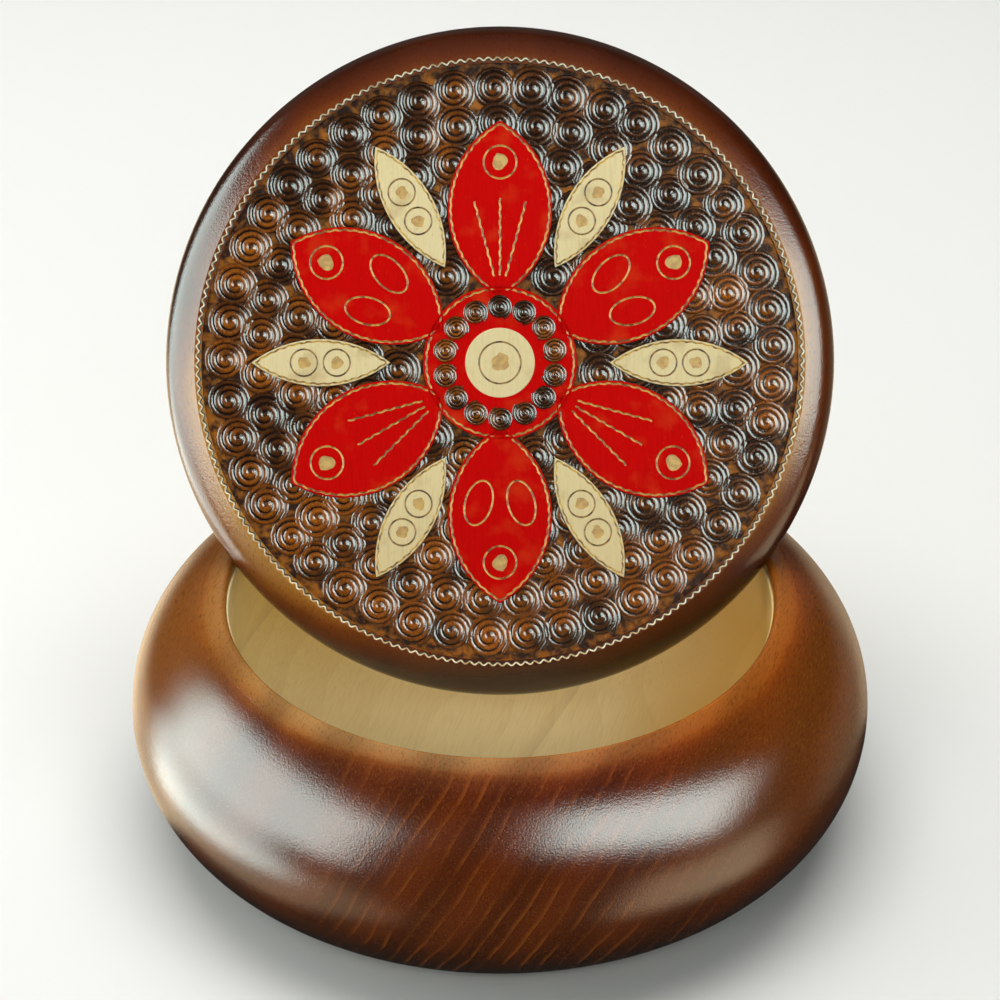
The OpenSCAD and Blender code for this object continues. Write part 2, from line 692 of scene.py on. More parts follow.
@dataclass(frozen=True)
class BareLinden(Finish):
    """Linden hollowed out and sanded, left bare: pale, matt, with faint growth arcs and small flecks."""

    grain: GrainFrame
    pale: str = "#f6e6b2"
    late: str = "#dabf80"
    ring_spacing: float = 9 * MM
    ring_stray: float = 14.0
    ring_late: Span = (0.1, 1.0, 0.0, 0.16)
    deep_tone: str = "#ead09a"
    deep_tone_reach: Span = (12 * MM, 28 * MM, 0.0, 1.0)
    fleck: str = "#7a5a2c"
    dark_ring_spacing: float = 60 * MM
    dark_ring_stray: float = 5.0
    dark_ring: Span = (0.95, 1.0, 0.0, 0.16)
    streak_width: float = 0.35 * MM
    streak_length: float = 7 * MM
    streak_late: Span = (0.45, 0.75, 0.0, 0.35)
    fleck_width: float = 0.4 * MM
    fleck_length: float = 0.8 * MM
    fleck_dark: Span = (0.7, 0.78, 0.0, 0.8)
    scratch_depth: float = 0.012 * MM

    def surface(self, graph: NodeGraph) -> dict[str, Any]:
        """Adds the bare wood's growth, streaks and flecks.

        Args:
            graph: The material's nodes.

        Returns:
            What goes into the inputs of the material's shader.
        """
        plank = self.grain.place(graph)
        rings = graph.growth_rings(plank, self.ring_spacing, self.ring_stray, Ring.SHARP)
        colour = graph.lay(linear(self.pale), self.late, (rings, self.ring_late))
        across = graph.add("SeparateXYZ", (plank,), "X")
        # Darker and warmer towards one side across the plank, 12 mm to 28 mm out; in the box this is the
        # right of the hollow.
        colour = graph.lay(colour, self.deep_tone, (across, self.deep_tone_reach), mode="MULTIPLY")
        rings = graph.growth_rings(plank, self.dark_ring_spacing, self.dark_ring_stray, Ring.SHARP)
        colour = graph.lay(colour, self.fleck, (rings, self.dark_ring))
        fibres = graph.streaks(plank, self.streak_width, self.streak_length)
        colour = graph.lay(colour, self.late, (fibres, self.streak_late))
        specks = graph.streaks(plank, self.fleck_width, self.fleck_length)
        colour = graph.lay(colour, self.fleck, (specks, self.fleck_dark))
        bump = graph.add("Bump", {"Height": fibres, "Distance": self.scratch_depth})
        return {"Base Color": colour, "Roughness": 0.62, "Normal": bump, "IOR": 1.3}


@dataclass(frozen=True)
class StainedBorder(Finish):
    """The lid's plain rounded border: linden darker towards its edge, partly stain and partly painted
    shade where it rounds over, under satin lacquer.
    """

    grain: GrainFrame
    inner: float
    outer: float
    stain: Stops = (
        (0.0, "#c08a3c"), (0.2, "#a86c26"), (0.4, "#7c3e0e"), (0.6, "#5e2606"), (0.8, "#461a04"),
        (1.0, "#2a0e03"),
    )
    inner_to_outer: tuple[float, float] = (0.4, 1.0)
    patch: float = 30 * MM
    patch_shift: Span = (0.3, 0.7, -0.12, 0.12)
    # Lighter towards the lower left and the right: thinner stain and painted reflection of the side
    # panels. Darker towards the bottom and top: painted shade.
    light_shade_and_stain_sides: Sides = (
        ((-0.88, -0.47, 0), -0.5), ((0.98, -0.12, 0), -0.32), ((0.1, -1, 0), 0.3), ((0, 1, 0), 0.12),
    )
    light_shade_and_stain_reach: tuple[float, float] = (0.76, 1.0)
    pore: str = "#1a0b04"
    pore_width: float = 0.3 * MM
    pore_length: float = 1.8 * MM
    pore_dark: Span = (0.45, 0.3, 0.0, 0.5)
    pebble: float = 0.42 * MM
    pebble_depth: float = 0.05 * MM
    gloss: Span = (0.3, 0.7, 0.15, 0.21)

    def surface(self, graph: NodeGraph) -> dict[str, Any]:
        """Adds the border's stain, lighter at the lower left and right as thinner stain and painted
        reflection, darker at the bottom and top as painted shade, with its pores and its lacquer.

        Args:
            graph: The material's nodes.

        Returns:
            What goes into the inputs of the material's shader.
        """
        plank = self.grain.place(graph)
        # Darker towards the edge: stain, and painted shade where the border rounds over.
        out = (graph.from_axis(plank), self.inner, self.outer, *self.inner_to_outer)
        patches = graph.add("MapRange", (graph.mottling(plank, self.patch), *self.patch_shift))
        uneven = graph.add("Math", (graph.add("MapRange", out), patches), operation="ADD")
        for side, share in self.light_shade_and_stain_sides:
            more = graph.add("MapRange", (graph.facing(plank, side), *self.light_shade_and_stain_reach, 0.0, share))
            uneven = graph.add("Math", (uneven, more), operation="ADD")
        colour = graph.add("ValToRGB", (uneven,), stops=self.stain)
        fibres = graph.streaks(plank, self.pore_width, self.pore_length)
        colour = graph.lay(colour, self.pore, (fibres, self.pore_dark))
        pebbles = graph.mottling(plank, self.pebble)
        bump = graph.add("Bump", {"Height": pebbles, "Distance": self.pebble_depth})
        gloss = graph.add("MapRange", (pebbles, *self.gloss))
        return {"Base Color": colour, "Roughness": gloss, "Normal": bump, "IOR": 1.45}


@dataclass(frozen=True)
class ScorchedGround(Finish):
    """Wood pressed down with hot punches, stained and lacquered.

    The valleys are burnt nearly black, the ridges stay amber and brown and catch the light. The dark
    patches grow more common towards the lid's upper right as painted shade.
    """

    grain: GrainFrame
    level: float
    ridge: float
    burnt: Stops = ((0.0, "#080402"), (0.3, "#1c0d05"), (0.55, "#8a4a08"), (1.0, "#c06c0c"))
    dark: str = "#1e0f06"
    scorch_and_shade_side: Way = (0.5, 0.87, 0)
    scorch_and_shade_reach: float = 45 * MM
    scorch_and_shade_shift: tuple[float, float] = (-0.02, 0.14)
    patch: float = 10 * MM
    patch_dark: Span = (0.44, 0.64, 0.0, 0.85)
    fibre_width: float = 0.22 * MM
    fibre_length: float = 0.6 * MM
    fibre_dark: Span = (0.52, 0.36, 0.0, 0.75)
    pebble: float = 0.4 * MM
    pebble_depth: float = 0.045 * MM

    def surface(self, graph: NodeGraph) -> dict[str, Any]:
        """Adds the scorching by height, its patches with painted shade towards the upper right, and the
        lacquer.

        Args:
            graph: The material's nodes.

        Returns:
            What goes into the inputs of the material's shader.
        """
        plank = self.grain.place(graph)
        height = graph.add("SeparateXYZ", (plank,), "Z")
        up = graph.add("MapRange", (height, self.level, self.level + self.ridge))
        colour = graph.add("ValToRGB", (up,), stops=self.burnt)
        # Painted shade: the side bias makes dark patches more common towards the lid's upper right.
        side = graph.add("VectorMath", (plank, self.scorch_and_shade_side), "Value", operation="DOT_PRODUCT")
        more = graph.add("MapRange", (side, -self.scorch_and_shade_reach, self.scorch_and_shade_reach, *self.scorch_and_shade_shift))
        scorch_and_shade = graph.add("Math", (graph.mottling(plank, self.patch), more), operation="ADD")
        colour = graph.lay(colour, self.dark, (scorch_and_shade, self.patch_dark))
        fibres = graph.streaks(plank, self.fibre_width, self.fibre_length)
        colour = graph.lay(colour, self.dark, (fibres, self.fibre_dark))
        pebbles = graph.mottling(plank, self.pebble)
        bump = graph.add("Bump", {"Height": pebbles, "Distance": self.pebble_depth})
        return {"Base Color": colour, "Roughness": 0.16, "Normal": bump, "IOR": 1.58}


@dataclass(frozen=True)
class StainedAmber(Finish):
    """The lid's ground between the punch marks: amber stained wood, scorched in patches."""

    grain: GrainFrame
    amber: str = "#a8640e"
    scorch: str = "#341806"
    patch: float = 1.8 * MM
    patch_scorch: Span = (0.34, 0.58, 0.0, 1.0)
    pebble: float = 0.6 * MM
    pebble_depth: float = 0.14 * MM

    def surface(self, graph: NodeGraph) -> dict[str, Any]:
        """Adds the amber, the scorched patches and the lacquer.

        Args:
            graph: The material's nodes.

        Returns:
            What goes into the inputs of the material's shader.
        """
        plank = self.grain.place(graph)
        patches = graph.mottling(plank, self.patch)
        colour = graph.lay(linear(self.amber), self.scorch, (patches, self.patch_scorch))
        pebbles = graph.mottling(plank, self.pebble)
        bump = graph.add("Bump", {"Height": pebbles, "Distance": self.pebble_depth})
        lacquer = {"Roughness": 0.34, "IOR": 1.35, "Specular IOR Level": 0.2}
        return {"Base Color": colour, "Normal": bump, **lacquer}


@dataclass(frozen=True)
class RaisedWood(Finish):
    """Wood left standing in the carving, stained or bare, a little scorched and worn."""

    grain: GrainFrame
    colour: str
    streak: str
    fleck: str
    top: float
    streak_width: float = 0.4 * MM
    streak_length: float = 5 * MM
    streak_depth: float = 0.015 * MM
    streak_share: Span = (0.45, 0.75, 0.0, 0.6)
    patch: float = 7 * MM
    patch_worn: Span = (0.54, 0.72, 0.0, 0.5)
    fleck_width: float = 0.35 * MM
    fleck_length: float = 0.875 * MM
    fleck_share: Span = (0.66, 0.74, 0.0, 0.5)
    side: str = "#4a2a0c"
    edge: float = 0.12 * MM

    def surface(self, graph: NodeGraph) -> dict[str, Any]:
        """Adds the colour, its streaks and flecks, and the scorched side below the top face.

        Args:
            graph: The material's nodes.

        Returns:
            What goes into the inputs of the material's shader.
        """
        plank = self.grain.place(graph)
        fibres = graph.streaks(plank, self.streak_width, self.streak_length)
        colour = graph.lay(linear(self.colour), self.streak, (fibres, self.streak_share))
        worn = graph.mottling(plank, self.patch)
        colour = graph.lay(colour, self.fleck, (worn, self.patch_worn))
        specks = graph.streaks(plank, self.fleck_width, self.fleck_length)
        colour = graph.lay(colour, self.fleck, (specks, self.fleck_share))
        height = graph.add("SeparateXYZ", (plank,), "Z")
        colour = graph.lay(colour, self.side, (height, (self.top, self.top - self.edge, 0.0, 1.0)))
        bump = graph.add("Bump", {"Height": fibres, "Distance": self.streak_depth})
        lacquer = {"Roughness": 0.5, "IOR": 1.4, "Specular IOR Level": 0.02}
        return {"Base Color": colour, "Normal": bump, **lacquer}


@dataclass(frozen=True)
class FreshCut(Finish):
    """Wood laid bare by a gouge after staining: pale gold, rough, darker where the tool scorched it. Its
    near-black copy is painted shadow beside the zigzag, not cut wood.
    """

    grain: GrainFrame
    pale: str
    scorch: str
    patch: float = 1.2 * MM
    patch_scorch: Span = (0.42, 0.62, 0.0, 1.0)

    def surface(self, graph: NodeGraph) -> dict[str, Any]:
        """Adds the pale cut and its scorched patches.

        Args:
            graph: The material's nodes.

        Returns:
            What goes into the inputs of the material's shader.
        """
        patches = graph.mottling(self.grain.place(graph), self.patch)
        colour = graph.lay(linear(self.pale), self.scorch, (patches, self.patch_scorch))
        return {"Base Color": colour, "Roughness": 0.5}


@dataclass(frozen=True)
class PaleFloor(Finish):
    """Matt white studio floor."""

    white: str = "#e6e6e2"

    def surface(self, graph: NodeGraph) -> dict[str, Any]:
        """Gives one plain matt colour."""
        return {"Base Color": linear(self.white), "Roughness": 0.9}


def arc_radius(reach: float, rise: float) -> float:
    """Radius of the arc that starts upright and comes in by one distance over another."""
    return (reach * reach + rise * rise) / (2 * reach)


@dataclass
class TurnedBox:
    """The bowl-like body, turned from one block with its hollow."""

    widest_z: float = 24.4 * MM
    foot_r: float = 56 * MM
    mouth_r: float = 55 * MM
    rim_round: float = 1.5 * MM
    floor_t: float = 8 * MM
    hollow_round: float = 22 * MM
    stained_strip: float = 0.5 * MM
    band_width: float = 3.6 * MM
    groove: float = 0.05 * MM
    groove_half: float = 0.3 * MM
    arris: float = 0.3 * MM
    across_grain: Way = (0.85, -0.20, -0.49)
    along_grain: Way = (0.23, 0.9775, 0.0)
    steps_round: int = 240
    arc_steps: int = 24
    rim_steps: int = 8
    band_steps: int = 5
    smooth_degrees: float = 14

    def build(self) -> Piece:
        """Turns the body and dresses it.

        Returns:
            The body, stained outside and bare in its hollow.
        """
        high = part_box("box_body")[1]
        widest_r, height = high[0], high[2]
        rim_r = self.mouth_r + self.rim_round
        flank = arc_radius(widest_r - self.foot_r, self.widest_z)
        shoulder = arc_radius(widest_r - rim_r, height - self.widest_z)
        middle = (widest_r - shoulder, self.widest_z)
        flank_turn = math.atan2(self.widest_z, self.foot_r - widest_r + flank)
        shoulder_turn = math.atan2(height - self.widest_z, rim_r - middle[0])
        band_turn = self.band_width / shoulder
        groove_turn = self.groove_half / shoulder
        wall_r = self.mouth_r - self.arris
        strip_z = height - self.rim_round - self.stained_strip
        corner_z = self.floor_t + self.hollow_round

        outline = Profile("turned_box_body", 0, 0)
        outline.line(self.foot_r, 0)
        outline.arc((widest_r - flank, self.widest_z), math.degrees(flank_turn), self.arc_steps)
        outline.arc(middle, math.degrees(shoulder_turn - band_turn - groove_turn), self.arc_steps)
        inward = Vector((middle[0] - outline.end[0], middle[1] - outline.end[1])).normalized()
        outline.line(*(Vector(outline.end) + inward * self.groove))
        shore = shoulder_turn - band_turn + groove_turn
        outline.line(middle[0] + shoulder * math.cos(shore), middle[1] + shoulder * math.sin(shore))
        outline.arc(middle, math.degrees(band_turn - groove_turn), self.band_steps)
        outline.arc((rim_r, height - self.rim_round), 90, self.rim_steps)
        outline.line(self.mouth_r, strip_z)
        outline.line(wall_r, strip_z - self.arris / 2)
        outline.line(wall_r, corner_z)
        outline.arc((wall_r - self.hollow_round, corner_z), -90, self.arc_steps)
        outline.line(0, self.floor_t)
        body = outline.turn(self.steps_round)
        self.stain(body, height, strip_z)
        return body

    def stain(self, body: Piece, height: float, strip_z: float) -> None:
        """Stains the outside, leaves the hollow bare, and puts the body on its frame.

        Args:
            body: The turned body.
            height: Height of the body.
            strip_z: Height to which the stain runs down inside the mouth.
        """
        across, along = Vector(self.across_grain).normalized(), Vector(self.along_grain).normalized()
        turn = Matrix((across, along, across.cross(along))).transposed().to_euler()
        plank = GrainFrame(Vector((0, 0, 0)), turn)
        stained = StainedLinden("turned_linden_stained", plank, height).material()
        dress(body, stained, BareLinden("turned_linden_bare", plank).material())
        dress_faces(body, 1, lambda face: self.in_hollow(face.calc_center_median(), strip_z))
        smooth(body, self.smooth_degrees)
        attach(body, Body.BOX.value)
        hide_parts("box_body")

    def in_hollow(self, spot: Vector, strip_z: float) -> bool:
        """Says whether a spot of the surface lies in the hollow, below its stained strip."""
        return math.hypot(spot.x, spot.y) < self.mouth_r and TOUCH < spot.z < strip_z


@dataclass(frozen=True)
class Gouge:
    """The small veining tool that draws every incised line, and the tremble of the hand that holds it."""

    tube: float = 0.21 * MM
    pitch: float = 2.0 * MM
    tremble: float = 0.1 * MM
    sides: int = 6
    phases: int = 6
    fewest_steps: int = 4
    oval_steps: int = 40

    def steps(self, length: float) -> Iterator[tuple[float, float]]:
        """Divides a stroke into steps.

        Args:
            length: Length of the stroke.

        Returns:
            How much of the stroke is done, and the tremble, at each step.
        """
        count = max(self.fewest_steps, round(length / self.pitch * self.phases))
        for i in range(count + 1):
            yield i / count, self.tremble * math.sin(FULL_TURN * i / self.phases)

    def cut(self, path: Sequence[Vector], closed: bool = False) -> Piece:
        """Makes the tool that cuts along a path, or round it where it is closed."""
        return sweep("gouge_stroke", path, self.tube, self.sides, 0.0 if closed else None)

    def oval(self, middle: Vector, wide: float, tall: float, lean: float) -> Piece:
        """Makes the tool that cuts a ring or a leaning oval.

        Args:
            middle: The oval's middle, at the height of the surface.
            wide: Half its width.
            tall: Half its height.
            lean: How far it leans, in degrees.

        Returns:
            The tool, a closed ring.
        """
        turn = Matrix.Rotation(math.radians(lean), 3, "Z")
        angles = [FULL_TURN * i / self.oval_steps for i in range(self.oval_steps)] + [0.0]
        path = [middle + turn @ Vector((wide * math.cos(a), tall * math.sin(a), 0)) for a in angles]
        return self.cut(path, closed=True)

    def stroke(self, start: Vector, end: Vector) -> Piece:
        """Makes the tool that cuts a trembling straight line.

        Args:
            start: Where the line starts, at the height of the surface.
            end: Where it ends.

        Returns:
            The tool, a closed bar.
        """
        run = end - start
        side = Vector((-run.y, run.x, 0)).normalized()
        return self.cut([start + run * share + side * wave for share, wave in self.steps(run.length)])


@dataclass(frozen=True)
class RingDot:
    """A ring on the lid's Y axis, cut round an uneven scraped spot."""

    reach: float
    ring_r: float
    spot_r: float
    depth: float
    seed: int
    uneven: float = 0.3
    steps: int = 32

    def cut(self, block: Piece, height: float, gouge: Gouge, ring: Material, spot: Material) -> None:
        """Cuts the ring and scrapes the spot.

        Args:
            block: The piece that they are cut into.
            height: Height of its top.
            gouge: The tool that cuts the ring.
            ring: Finish of the ring.
            spot: Finish of the spot.
        """
        middle = Vector((0, self.reach, height))
        carve(block, [gouge.oval(middle, self.ring_r, self.ring_r, 0)], ring)
        carve(block, [self.pit(middle)], spot)

    def pit(self, middle: Vector) -> Piece:
        """Makes the tool that scrapes the spot.

        Args:
            middle: The spot's middle, at the height of the surface.

        Returns:
            The tool, a flat closed lump.
        """
        lump = primitive(
            "scraped_spot", bpy.ops.mesh.primitive_circle_add, vertices=self.steps, radius=self.spot_r,
            fill_type="NGON",
        )
        stray = self.uneven * self.spot_r
        with editing(lump):
            bpy.ops.mesh.select_all(action="SELECT")
            bpy.ops.transform.vertex_random(offset=stray, uniform=1.0, normal=0.0, seed=self.seed)
            bpy.ops.mesh.vertices_smooth(factor=0.5, repeat=2)
            bpy.ops.transform.resize(value=(1, 1, 0), center_override=(0, 0, 0))
            bpy.ops.transform.translate(value=middle - Vector((0, 0, self.depth)))
            bpy.ops.mesh.extrude_region_move(TRANSFORM_OT_translate={"value": (0, 0, 2 * self.depth)})
        clean(lump)
        return lump


@dataclass(frozen=True)
class PointedOval:
    """A petal or leaf between two arcs, on the lid's Y axis."""

    root: float
    tip: float
    width: float
    line_inset: float
    steps_round: int = 256
    bevel: float = 0.15 * MM

    @property
    def radius(self) -> float:
        """Radius of either arc."""
        return arc_radius(self.width / 2, (self.tip - self.root) / 2)

    @property
    def middle(self) -> float:
        """Distance from the lid's middle to the oval's."""
        return (self.root + self.tip) / 2

    @property
    def offset(self) -> float:
        """Distance from the oval's axis to the centre of either arc."""
        return self.radius - self.width / 2

    def depth(self, x: float, y: float) -> float:
        """How far inside its edge a spot lies, less than nothing where it is outside."""
        return self.radius - math.hypot(abs(x) + self.offset, y - self.middle)

    def blank(self, name: str, low: float, high: float) -> Piece:
        """Models the oval as a block with its upper edge broken.

        Args:
            name: The object's name.
            low: Height of its underside.
            high: Height of its top.

        Returns:
            The block, what two cylinders share, the second taller so that they have no face in common.
        """
        block, other = (
            primitive(
                name, bpy.ops.mesh.primitive_cylinder_add, vertices=self.steps_round, radius=self.radius,
                depth=(high - low) * taller, location=(side * self.offset, self.middle, (low + high) / 2),
            )
            for side, taller in ((1, 1), (-1, 3))
        )
        combine(block, other, "INTERSECT")
        break_edge(block, self.bevel)
        return block

    def outline(self, height: float, gouge: Gouge) -> list[Piece]:
        """Makes the tools that cut a wavy line just inside the two arcs.

        Args:
            height: Height of the surface.
            gouge: The tool that cuts the line.

        Returns:
            One tool for either side.
        """
        tools = []
        reach = self.radius - self.line_inset
        half = math.acos(self.offset / reach)
        for side in (1, -1):
            path = []
            for share, wave in gouge.steps(2 * half * reach):
                angle = half * (2 * share - 1)
                out = (reach + wave) * math.cos(angle) - self.offset
                path.append(Vector((side * out, self.middle + (reach + wave) * math.sin(angle), height)))
            tools.append(gouge.cut(path))
        return tools


@dataclass(frozen=True)
class SpiralPunch:
    """The hot punch whose blow leaves one spiral ridge, wound outwards clockwise on a scorched spot."""

    first_r: float = 0.3 * MM
    first_pitch: float = 1.55 * MM
    last_pitch: float = 1.0 * MM
    turns: float = 3.2
    drift: float = 0.12 * MM
    fullness: float = 0.5
    flatness: float = 0.85
    nose: float = 0.45 * MM
    nose_share: float = 0.5
    steps_per_turn: int = 16
    sides: int = 6
    bed: float = 0.05 * MM
    bed_turns: float = 2.7
    bed_sides: int = 20
    hump: float = 0.34 * MM
    hump_sides: int = 8

    @property
    def ridge(self) -> float:
        """Height of the ridge where it is thickest."""
        return self.first_pitch * self.fullness * self.flatness

    @property
    def outer_r(self) -> float:
        """Outer radius of the mark."""
        return self.reach(self.turns) + self.last_pitch * self.fullness

    def reach(self, turns: float) -> float:
        """Distance from the mark's middle to its ridge after some turns."""
        closing = (self.last_pitch - self.first_pitch) * turns * turns / (2 * self.turns)
        return self.first_r + self.first_pitch * turns + closing

    def strike(self, name: str, level: float) -> Piece:
        """Models one mark at the origin.

        Args:
            name: The object's name.
            level: Height of the ground.

        Returns:
            The mark: a ridge that thins outwards, on a thin round bed with a low hump in its middle.
        """
        path = []
        for i in range(round(self.turns * self.steps_per_turn) + 1):
            turns = i / self.steps_per_turn
            angle, reach = -FULL_TURN * turns, self.reach(turns)
            aside = self.drift * turns
            path.append(Vector((reach * math.cos(angle) - aside, reach * math.sin(angle), level)))
        taper = self.last_pitch / self.first_pitch
        ridge = sweep(name, path, self.first_pitch * self.fullness, self.sides, None, taper)
        self.round_start(ridge, path[0])
        low = Matrix.Translation((0, 0, level * (1 - self.flatness)))
        settle(ridge, low @ Matrix.Diagonal((1, 1, self.flatness, 1)))
        bed = primitive(
            "punch_bed", bpy.ops.mesh.primitive_cylinder_add, vertices=self.bed_sides,
            radius=self.reach(self.bed_turns), depth=2 * self.bed, location=(0, 0, level),
        )
        hump = primitive(
            "punch_hump", bpy.ops.mesh.primitive_cone_add, vertices=self.hump_sides,
            radius1=self.first_pitch, radius2=self.first_r, depth=self.hump,
            location=(0, 0, level + self.hump / 2),
        )
        return join((ridge, bed, hump))

    def round_start(self, ridge: Piece, start: Vector) -> None:
        """Draws the ridge's first end out to a blunt nose.

        Args:
            ridge: The ridge.
            start: Middle of its first end.
        """
        step = Vector((0, self.nose, 0))
        with editing(ridge):
            select_faces(ridge, lambda face: len(face.verts) == self.sides
                         and (face.calc_center_median() - start).length < self.first_r)
            bpy.ops.mesh.extrude_region_move(TRANSFORM_OT_translate={"value": step})
            bpy.ops.transform.resize(value=(self.nose_share,) * 3, center_override=start + step)


@dataclass
class CarvedLid:
    """The round lid: a plain rounded border round a punched ground with a rosette standing in it."""

    edge_up: float = 7 * MM
    edge_down: float = 4 * MM
    bare_below: float = -3.96 * MM
    plug_h: float = 5 * MM
    plug_r: float = 54.5 * MM
    plug_round: float = 1 * MM
    bevel_r: float = 61.4 * MM
    bevel_tilt: float = 24
    ground_r: float = 60 * MM
    ground_sink: float = 0.9 * MM
    relief_h: float = 0.8 * MM
    bed: float = 1 * MM
    lean: float = 30
    up_steps: int = 14
    down_steps: int = 12
    plug_steps: int = 5
    steps_round: int = 256
    cut_degrees: float = 20
    mark_degrees: float = 60

    zigzag_r: float = 60.8 * MM
    zigzag_pitch: float = 1.92 * MM
    zigzag_swing: float = 0.3 * MM
    zigzag_tube: float = 0.19 * MM
    zigzag_sides: int = 6
    zigzag_shadow: float = 0.3 * MM
    zigzag_phases: int = 6
    zigzag_sectors: int = 12
    zigzag_merge: float = 0.02 * MM

    gouge: Gouge = Gouge()
    petal_count: int = 6
    petal: PointedOval = PointedOval(13 * MM, 48.5 * MM, 21 * MM, 0.6 * MM)
    petal_dot: RingDot = RingDot(40.2 * MM, 3.3 * MM, 1.7 * MM, 0.16 * MM, 3)
    pleat_fan: tuple[float, ...] = (-15, 0, 15)
    pleat_from_mm: float = 4.5
    pleat_to_mm: float = 20
    loop_aside: float = 4.3 * MM
    loop_reach: float = 28.2 * MM
    loop_wide: float = 2.7 * MM
    loop_tall: float = 4.6 * MM
    loop_lean: float = 16
    leaf: PointedOval = PointedOval(22 * MM, 50 * MM, 9.5 * MM, 0.5 * MM)
    leaf_dots: tuple[RingDot, ...] = (
        RingDot(32.8 * MM, 2.7 * MM, 1.25 * MM, 0.14 * MM, 0),
        RingDot(39.4 * MM, 2.7 * MM, 1.25 * MM, 0.14 * MM, 1),
    )
    hub_r: float = 15.5 * MM
    hub_line: float = 0.7 * MM
    hub_bevel: float = 0.15 * MM
    eye_r: float = 7 * MM
    eye_h: float = 0.1 * MM
    eye_lap: float = 0.2 * MM
    eye_bevel: float = 0.08 * MM
    eye_dot: RingDot = RingDot(0, 4.2 * MM, 1.7 * MM, 0.14 * MM, 7)
    disc_steps: int = 128

    punch: SpiralPunch = SpiralPunch()
    curl_count: int = 14
    curl_r: float = 11.2 * MM
    curl_scale: float = 0.56
    row_spacing: float = 6.9 * MM
    row_gap: float = 0.2 * MM
    mark_pitch: float = 7.7 * MM
    mark_turn: float = 12
    pitch_stray: float = 0.06
    row_stray: float = 0.3 * MM
    turn_stray: float = 20
    smallest: float = 0.96
    largest: float = 1.06
    sink_stray: float = 0.05 * MM
    hidden_depth: float = 3.2 * MM
    seed: int = 11

    def __post_init__(self) -> None:
        """Works out where the lid stands from its box in the frame, and makes its finishes."""
        low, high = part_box("lid")
        lean = math.radians(self.lean)
        self.lid_r = high[0]
        self.up_r = self.lid_r - self.edge_up
        self.down_r = self.lid_r - self.edge_down
        middle = Vector((
            0,
            low[1] + self.edge_up + self.up_r * math.sin(lean),
            low[2] + self.edge_down + self.down_r * math.cos(lean),
        ))
        turn = Euler((math.pi / 2 - lean, 0, 0))
        self.place = Matrix.Translation(middle) @ turn.to_matrix().to_4x4()
        self.ground_z = self.edge_up - self.ground_sink
        self.low_z = self.ground_z - self.bed
        self.top_z = self.ground_z + self.relief_h
        self.draw = random.Random(self.seed)
        self.make_finishes(GrainFrame(middle, turn))

    def make_finishes(self, grain: GrainFrame) -> None:
        """Makes the lid's finishes.

        Args:
            grain: How the lid lay in its plank.
        """
        ridge, top = self.punch.ridge, self.top_z
        curl = ridge * self.curl_scale
        self.border = StainedBorder("linden_border_stain_and_painted_light", grain, self.up_r, self.lid_r).material()
        self.amber = StainedAmber("linden_ground_amber", grain).material()
        self.bare = BareLinden("linden_underside_bare", grain).material()
        self.scorched = ScorchedGround("linden_punched_scorched_and_shaded", grain, self.ground_z, ridge).material()
        self.curled = ScorchedGround("linden_curls_scorched_and_shaded", grain, top, curl).material()
        self.red = RaisedWood("linden_stained_red", grain, "#d20301", "#be0201", "#dc4218", top).material()
        self.cream = RaisedWood("linden_left_pale", grain, "#efe0ac", "#e2cf92", "#b5925a", top).material()
        self.gold_cut = FreshCut("linden_cut_gold", grain, "#e2bc58", "#8a5a1c").material()
        self.pale_cut = FreshCut("linden_cut_pale", grain, "#fbf3d4", "#c8ab72").material()
        # Painted shadow: this near-black cut stands where the zigzag's inner side is in shadow.
        self.shadow_cut = FreshCut("linden_cut_painted_shadow", grain, "#2a1408", "#120803").material()
        self.brown_cut = FreshCut("linden_cut_brown", grain, "#b48a40", "#5a3a14").material()
        self.gold_spot = FreshCut("linden_scraped_gold", grain, "#d2a848", "#b88a34").material()

    def build(self) -> list[Piece]:
        """Models every piece of the lid.

        Returns:
            The lid's pieces, in place on the frame.
        """
        pieces = [self.blank(), *self.petals(), *self.leaves()]
        pieces += [self.hub(), self.eye(), self.curls(), self.marks()]
        return pieces

    def finish(self, piece: Piece, slot: Slot, degrees: float) -> Piece:
        """Shades a piece, sets it in its place and puts it on the lid's body.

        Args:
            piece: The piece, in the lid's own frame.
            slot: The slot meant for its finish; not used.
            degrees: Angle past which its edges stay sharp.

        Returns:
            The same piece.
        """
        smooth(piece, degrees)
        settle(piece, self.place)
        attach(piece, Body.LID.value)
        return piece

    def blank(self) -> Piece:
        """Turns the lid's disc with its border, its sunk ground and its plug, and cuts the zigzag ring
        with a near-black groove of painted shadow just inside it.

        Returns:
            The disc.
        """
        tilt = math.radians(self.bevel_tilt)
        fall = self.edge_up - (self.lid_r - self.bevel_r) * math.tan(tilt)
        round_r = fall / (math.cos(tilt) - math.tan(tilt) * (1 - math.sin(tilt)))
        middle_r = self.lid_r - round_r
        plug_z = -self.edge_down - self.plug_h
        corner = (self.plug_r - self.plug_round, plug_z + self.plug_round)

        outline = Profile("turned_lid", 0, self.ground_z)
        outline.line(self.ground_r, self.ground_z)
        outline.line(self.ground_r, self.edge_up)
        outline.line(self.bevel_r, self.edge_up)
        outline.line(middle_r + round_r * math.sin(tilt), round_r * math.cos(tilt))
        outline.arc((middle_r, 0), self.bevel_tilt - 90, self.up_steps)
        outline.arc((self.down_r, 0), -90, self.down_steps)
        outline.line(self.plug_r, -self.edge_down)
        outline.line(self.plug_r, corner[1])
        outline.arc(corner, -90, self.plug_steps)
        outline.line(0, plug_z)
        disc = outline.turn(self.steps_round)
        dress(disc, self.border, self.amber, self.bare)
        dress_faces(disc, 1, self.in_ground)
        dress_faces(disc, 2, lambda face: face.calc_center_median().z < self.bare_below)
